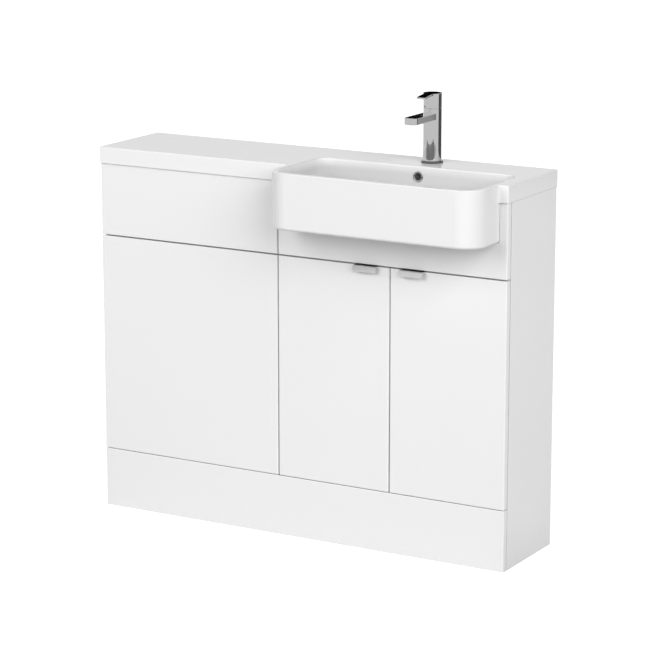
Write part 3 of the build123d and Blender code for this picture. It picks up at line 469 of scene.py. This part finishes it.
def acetal(at):
    flow = noise(at, 160.0, detail=3.0)
    return {
        "Base Color": blend(flow, grey(0.018), grey(0.035)),
        "Roughness": 0.32 + flow * 0.14,
        "Normal": relief(noise(at, 2200.0, detail=1.0), 0.000008),
    }


finishes["white_plastic"] = finish("white_nylon", {"IOR": 1.53}, nylon)
finishes["dark_plastic"] = finish("dark_acetal", {"IOR": 1.48}, acetal)


# %% Clear buffers and black rubber
def soft_drop(at):
    cloud = noise(at, 260.0, detail=2.0)
    return {
        "Base Color": blend(cloud, (0.93, 0.94, 0.93, 1), (0.84, 0.86, 0.84, 1)),
        "Roughness": 0.08 + cloud * 0.16,
    }


def black_rubber(at):
    bloom = rise(noise(at, 85.0, detail=5.0, roughness=0.65), 0.45, 0.8)
    return {
        "Base Color": blend(bloom, grey(0.016), grey(0.075)),
        "Roughness": 0.62 + bloom * 0.2,
        "Normal": relief(noise(at, 1700.0, detail=2.0), 0.00003),
    }


finishes["clear_dot"] = finish("clear_buffer", {"IOR": 1.46, "Transmission Weight": 0.75}, soft_drop)
finishes["rubber"] = finish("black_rubber", {"IOR": 1.5}, black_rubber)

# %% [markdown]
# ## Dress the solids
#
# The record names a slot for each solid. A solid whose shape is already right only has its
# material changed.

# %% Give each solid its finish
slot_of = {row["node"]: row["material_slot"] for row in frame["record"]["subparts"]}
for name, solid in frame["nodes"].items():
    solid.data.materials.clear()
    solid.data.materials.append(finishes[slot_of[name]])
print(len(slot_of), "solids dressed in", len(set(slot_of.values())), "finishes")

# %% [markdown]
# ## One screw, made once
#
# Every hinge and bracket is held by pan-head screws with a cross recess. The head starts as a
# disc that is extruded and bevelled. Four cuts across the top face mark out the cross, and the
# faces inside it are pushed down. A screw is small and there are dozens, so it stays light.


# %% A pan-head screw
def pan_head(diameter, height, segments=20):
    """A head that stands on the XY plane round the Z axis, with its cross recess."""
    head = bmesh.new()
    bmesh.ops.create_circle(head, cap_ends=True, segments=segments, radius=diameter / 2)
    body = bmesh.ops.extrude_face_region(head, geom=list(head.faces))
    raised = [v for v in body["geom"] if isinstance(v, bmesh.types.BMVert)]
    bmesh.ops.translate(head, verts=raised, vec=(0, 0, height))
    rim = [e for e in head.edges if all(v.co.z > height / 2 for v in e.verts)]
    bmesh.ops.bevel(head, geom=rim, offset=height * 0.55, offset_type="OFFSET", segments=3,
                    profile=0.5, affect="EDGES", material=-1)
    cut_cross(head, diameter * 0.07, diameter * 0.26, height * 0.6)
    bmesh.ops.recalc_face_normals(head, faces=head.faces)
    return head


def cut_cross(head, half_slot, reach, depth):
    """Marks out a cross on the top face with straight cuts, and pushes it down."""
    top = max(v.co.z for v in head.verts) - 0.00001
    for axis in ((1, 0, 0), (0, 1, 0)):
        for offset in (-reach, -half_slot, half_slot, reach):
            faces = [f for f in head.faces if all(v.co.z > top for v in f.verts)]
            inside = faces + list({e for f in faces for e in f.edges}) + list({v for f in faces for v in f.verts})
            bmesh.ops.bisect_plane(head, geom=inside, dist=1e-7, plane_co=Vector(axis) * offset, plane_no=axis)
    cross = [f for f in head.faces if f.normal.z > 0.9 and in_cross(f.calc_center_median(), half_slot, reach, top)]
    pushed = bmesh.ops.extrude_face_region(head, geom=cross)
    lowered = [v for v in pushed["geom"] if isinstance(v, bmesh.types.BMVert)]
    bmesh.ops.translate(head, verts=lowered, vec=(0, 0, -depth))
    bmesh.ops.delete(head, geom=cross, context="FACES_ONLY")


def in_cross(point, half_slot, reach, top):
    across = abs(point.x) < half_slot and abs(point.y) < reach
    along = abs(point.y) < half_slot and abs(point.x) < reach
    return point.z > top and (across or along)


trial = pan_head(0.007, 0.0018)
print("a screw head has", len(trial.faces), "faces")
trial.free()

# %% [markdown]
# ## Putting screws where the fitter would
#
# A set of screws is one piece that rides on one body. Each screw is a copy of the head, turned
# from facing up to facing the way its board faces, a quarter turn more or less for each, as
# screws never stop at the same angle.


# %% A set of screws
def screw_set(name, body, places, diameter=0.007, height=0.0018):
    """Each place is a point on a surface and the direction that the surface faces."""
    joined = bmesh.new()
    for number, (point, facing) in enumerate(places):
        head = pan_head(diameter, height)
        turn = Vector(facing).to_track_quat("Z", "Y").to_matrix().to_4x4()
        twist = Matrix.Rotation(0.7 * number, 4, "Z")
        bmesh.ops.transform(head, matrix=Matrix.Translation(point) @ turn @ twist, verts=head.verts)
        mesh = bpy.data.meshes.new("copy")
        head.to_mesh(mesh)
        head.free()
        joined.from_mesh(mesh)
        bpy.data.meshes.remove(mesh)
    mesh = bpy.data.meshes.new(name)
    joined.to_mesh(mesh)
    joined.free()
    mesh.materials.append(finishes["steel"])
    piece = bpy.data.objects.new(name, mesh)
    bpy.context.scene.collection.objects.link(piece)
    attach(piece, body)
    print(name, len(places), "screws,", len(mesh.polygons), "faces")
    return piece


# %% [markdown]
# ## Hinge screws
#
# A cup is held by a screw in each wing, and a mounting plate by one above and one below its arm.
# Two more on each arm shift the door in and out and from side to side. The hinges' heights are
# read from the pins, so that the screws stay right if the doors change.

# %% Hinge screws
half_pin = 0.0068
hinge_heights = [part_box("left_hinge_pins")[0].z + half_pin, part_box("left_hinge_pins")[1].z - half_pin]
wing_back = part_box("left_hinge_cups")[1].y
cup_middle = {"left_door": -0.027, "right_door": 0.5275}
for door, x in cup_middle.items():
    wings = [(x, wing_back, z + step) for z in hinge_heights for step in (-0.0225, 0.0225)]
    screw_set(door + "_cup_screws", door, [(place, (0, 1, 0)) for place in wings])

sides = [(1, -0.0288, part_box("left_hinge_arms")[1].x), (-1, 0.5293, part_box("right_hinge_arms")[0].x)]
plate_places = []
arm_places = []
for side, plate, arm in sides:
    for z in hinge_heights:
        plate_places += [((plate, 0.0035, z + step), (side, 0, 0)) for step in (-0.016, 0.016)]
        arm_places += [((arm, y, z), (side, 0, 0)) for y in (-0.010, 0.013)]
screw_set("hinge_plate_screws", "cabinet", plate_places)
screw_set("hinge_arm_screws", "cabinet", arm_places, diameter=0.0062, height=0.0010)

# %% [markdown]
# ## Bracket screws
#
# The wall brackets and the plinth's angles are fixed to the gables with the same screws. Each
# gable's inner face is a plane of constant X, and the side says which way it looks.

# %% Bracket screws
inner_faces = [(1, -0.532), (-1, -0.069), (1, -0.033), (-1, 0.532)]
wall_places = []
plinth_places = []
for side, face in inner_faces:
    wall_places += [((face + side * 0.002, 0.157, z), (side, 0, 0)) for z in (0.610, 0.630)]
    plinth_places.append(((face + side * 0.0015, -0.031, 0.073), (side, 0, 0)))
    plinth_places.append(((face + side * 0.019, -0.0475, 0.073), (0, 1, 0)))
screw_set("wall_bracket_screws", "cabinet", wall_places)
screw_set("plinth_bracket_screws", "cabinet", plinth_places)

# %% [markdown]
# ## The floor, the lamps and the light all round
#
# The object stands on a plain pale floor under an even white sky, with two large soft lamps. The
# background looks white because rays that come straight from the camera see a white world, and
# a white glow on the floor. In mirrors the floor glows too, as a painted reflection that is dimmer
# towards the front. The light on the object itself stays lower.


# %% Stage helpers
def light_path(at, kinds):
    """1 for rays of the named kinds, 0 for the rest."""
    paths = at.node("ShaderNodeLightPath", {}, {})
    total = 0.0
    for kind in kinds:
        total = Wire(at.tree, paths.socket.node.outputs[kind]) + total
    return total


def stage_piece(name, shape, material):
    """Makes a mesh of a shape with one material, and puts it in the scene."""
    mesh = bpy.data.meshes.new(name)
    shape.to_mesh(mesh)
    shape.free()
    mesh.materials.append(material)
    piece = bpy.data.objects.new(name, mesh)
    bpy.context.scene.collection.objects.link(piece)
    return piece


# %% Floor
def floor_paint(at):
    grain = noise(at, 30.0)
    far = rise(at.node("ShaderNodeVectorMath", {"operation": "LENGTH"}, {0: at}, output="Value"), 2.0, 9.0)
    seen = light_path(at, ["Is Camera Ray", "Is Transmission Ray"]) * (0.80 + far * 0.20)
    # Painted reflection: for mirrors the floor glows, dimmer towards the front.
    mirrored = light_path(at, ["Is Glossy Ray"]) * (rise(axes(at)[1], -0.1, 0.4) * 0.65 + 0.15)
    return {
        "Base Color": blend(grain, grey(0.49), grey(0.51)),
        "Emission Color": blend(seen + mirrored, grey(0.0), grey(1.0)),
    }


floor_shape = bmesh.new()
bmesh.ops.create_grid(floor_shape, x_segments=1, y_segments=1, size=40.0)
stage_piece("floor", floor_shape, finish("pale_floor", {"Roughness": 0.9, "Emission Strength": 1.0}, floor_paint))

# %% World
world = bpy.data.worlds.new("studio")
bpy.context.scene.world = world
world.use_nodes = True
sky = Wire(world.node_tree)
sky_level = 0.14
seen = light_path(sky, ["Is Camera Ray", "Is Glossy Ray", "Is Transmission Ray"])
backdrop = blend(seen, grey(sky_level), grey(1.0))
world.node_tree.links.new(backdrop.socket, world.node_tree.nodes["Background"].inputs["Color"])
print("sky", sky_level, "of white on the object, white to the camera")

# %% [markdown]
# ## What the chrome sees
#
# A mirror needs something to mirror. In the studio that is a large pale tent round the set, with
# a dark curtain to the right and behind, and a small black card behind the tap. They only show
# in reflections: rays from the camera and the light of the lamps pass through them.


# %% Tent and card for reflections
def only_mirrored(piece):
    """Leaves a stage piece to mirrors alone."""
    piece.visible_camera = False
    piece.visible_diffuse = False
    piece.visible_transmission = False
    piece.visible_shadow = False
    piece.data.materials[0].cycles.emission_sampling = "NONE"


tent_middle = (0.2545, 0.127)


def tent_paint(at):
    x, y, z = axes(at)
    azimuth = x.maths("ARCTAN2", x - tent_middle[0], tent_middle[1] - y)
    curtain = rise(azimuth, 1.87, 1.93) * rise(z, 0.400, 0.415) * (1 - rise(z, 1.2, 1.6))
    parting = rise(azimuth, 2.56, 2.575) * (1 - rise(azimuth, 2.645, 2.66))
    behind = 1 - rise(azimuth, -2.1, -1.6)
    skirt = (1 - rise(z, 0.385, 0.400)) * rise(azimuth, 0.9, 2.4)
    hem = (1 - rise(z, 0.086, 0.106)) * 0.22 - (1 - rise(z, 0.11, 0.20)) * 0.10
    cloth = blend(0.60 + behind * 0.40 + skirt * 0.40 + hem, grey(0.0), grey(1.0))
    return {"Emission Color": blend(curtain, cloth, blend(parting, grey(0.07), grey(0.31)))}


def card_paint(at):
    return {"Emission Color": blend(noise(at, 3.0), grey(0.0), grey(0.004))}


dark = {"Base Color": grey(0.0), "Specular IOR Level": 0.0, "Roughness": 1.0, "Emission Strength": 1.0}
tent_shape = bmesh.new()
bmesh.ops.create_uvsphere(tent_shape, u_segments=64, v_segments=32, radius=3.0)
bmesh.ops.translate(tent_shape, verts=tent_shape.verts, vec=(*tent_middle, 0.0))
low_half = tent_shape.verts[:] + tent_shape.edges[:] + tent_shape.faces[:]
bmesh.ops.bisect_plane(tent_shape, geom=low_half, plane_co=(0, 0, 0.001), plane_no=(0, 0, 1), clear_inner=True)
only_mirrored(stage_piece("tent", tent_shape, finish("tent_cloth", dark, tent_paint)))

card_shape = bmesh.new()
bmesh.ops.create_grid(card_shape, x_segments=1, y_segments=1, size=0.5)
bmesh.ops.scale(card_shape, verts=card_shape.verts, vec=(0.36, 0.62, 1.0))
bmesh.ops.rotate(card_shape, verts=card_shape.verts, cent=(0, 0, 0), matrix=Matrix.Rotation(math.pi / 2, 3, "X"))
bmesh.ops.translate(card_shape, verts=card_shape.verts, vec=(-0.02, 0.45, 1.388))
only_mirrored(stage_piece("card", card_shape, finish("black_card", dark, card_paint)))


# %% Lamps
def soft_lamp(name, place, power):
    """A large square lamp, far off, that faces the middle of the set."""
    lamp = bpy.data.objects.new(name, bpy.data.lights.new(name, "AREA"))
    lamp.data.size = 8.0
    lamp.data.energy = power
    lamp.location = place
    lamp.rotation_euler = (Vector((0.0, 0.0, 0.55)) - Vector(place)).to_track_quat("-Z", "Y").to_euler()
    lamp.visible_glossy = False
    bpy.context.scene.collection.objects.link(lamp)
    print(name, power, "W")


soft_lamp("front_lamp", (-4.0, -9.91, 6.0), 890)
soft_lamp("side_lamp", (9.07, -5.67, 6.0), 1205)
bpy.context.scene.view_settings.view_transform = "Standard"
